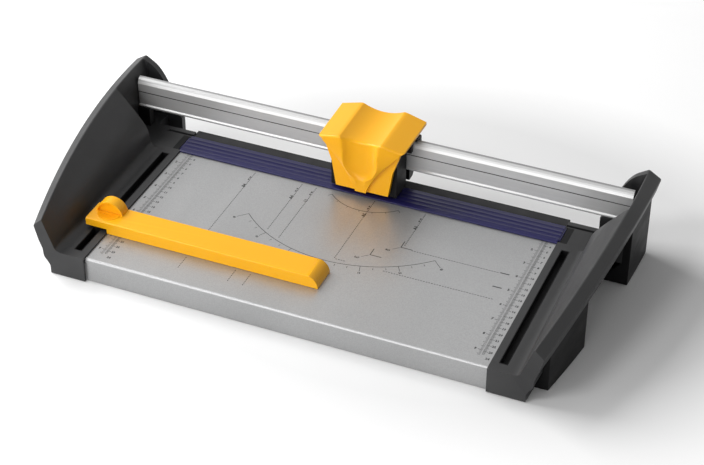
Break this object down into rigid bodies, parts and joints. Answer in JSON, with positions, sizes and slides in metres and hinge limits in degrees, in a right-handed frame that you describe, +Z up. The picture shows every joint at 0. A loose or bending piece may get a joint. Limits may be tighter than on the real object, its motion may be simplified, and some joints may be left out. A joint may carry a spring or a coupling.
{
  "type": "paper trimmer",
  "caption": "Rotary paper trimmer: metal bed between flared end caps, a rail with a sliding press-down cutter head, a clamp strip and a sliding paper guide.",
  "frame": {"origin": "centre of the bounding box at the desk surface, under the middle of the bed", "axes": "+X along the rail to the right end cap, +Y from the operator's side to the back, +Z up from the desk"},
  "size_m": [0.6302, 0.294, 0.1095],
  "materials": {
    "cap_plastic": "fine moulded grain",
    "black_plastic": "fine moulded grain",
    "bed_metal": "satin with printed rulers",
    "rail_metal": "satin anodised extrusion",
    "yellow_plastic": "smooth moulded",
    "violet_plastic": "smooth with lengthwise ridges",
    "mat_rubber": "matt",
    "foot_rubber": "matt",
    "steel": "zinc plated",
    "blade_steel": "ground",
    "glide_plastic": "smooth"
  },
  "bodies": {
    "base": {"base_frame": "black_plastic", "bed_plate": "bed_metal", "cutting_mat": "mat_rubber", "left_strip_holder": "black_plastic", "right_strip_holder": "black_plastic", "rail": "rail_metal", "left_rail_bracket": "black_plastic", "right_rail_bracket": "black_plastic", "rail_screws": "steel", "left_end_cap": "cap_plastic", "right_end_cap": "cap_plastic", "left_guide_track": "black_plastic", "right_guide_track": "black_plastic", "front_left_leg": "black_plastic", "front_right_leg": "black_plastic", "rear_left_leg": "black_plastic", "rear_right_leg": "black_plastic", "rubber_feet": "foot_rubber", "frame_screws": "steel"},
    "clamp": {"clamp_strip": "violet_plastic"},
    "carriage": {"slider_body": "black_plastic", "glide_shoes": "glide_plastic", "return_springs": "steel"},
    "cutter_head": {"head_shell": "yellow_plastic", "cartridge_body": "yellow_plastic", "blade_guard": "black_plastic", "blade_axle": "steel", "axle_retainer": "steel", "guide_pins": "steel"},
    "cutting_disc": {"blade": "blade_steel"},
    "paper_guide": {"guide_bar": "yellow_plastic", "guide_shoe": "black_plastic", "guide_screws": "steel"}
  },
  "joints": [
    {"name": "clamp_lift", "type": "slide", "parent": "base", "child": "clamp", "axis": [0, 0, 1], "range_m": [0, 0.0015], "stiffness_N_per_m": 400, "springref_m": -0.002},
    {"name": "carriage_slide", "type": "slide", "parent": "base", "child": "carriage", "axis": [1, 0, 0], "range_m": [-0.238, 0.238]},
    {"name": "head_press", "type": "slide", "parent": "carriage", "child": "cutter_head", "axis": [0, 0, -1], "range_m": [0, 0.0025], "stiffness_N_per_m": 1500, "springref_m": -0.002, "deforming": ["return_springs"]},
    {"name": "blade_spin", "type": "hinge", "parent": "cutter_head", "child": "cutting_disc", "pos_m": [0, 0.1108, 0.0458], "axis": [0, 1, 0], "continuous": true},
    {"name": "guide_slide", "type": "slide", "parent": "base", "child": "paper_guide", "axis": [0, 1, 0], "range_m": [-0.04, 0.13]}
  ]
}
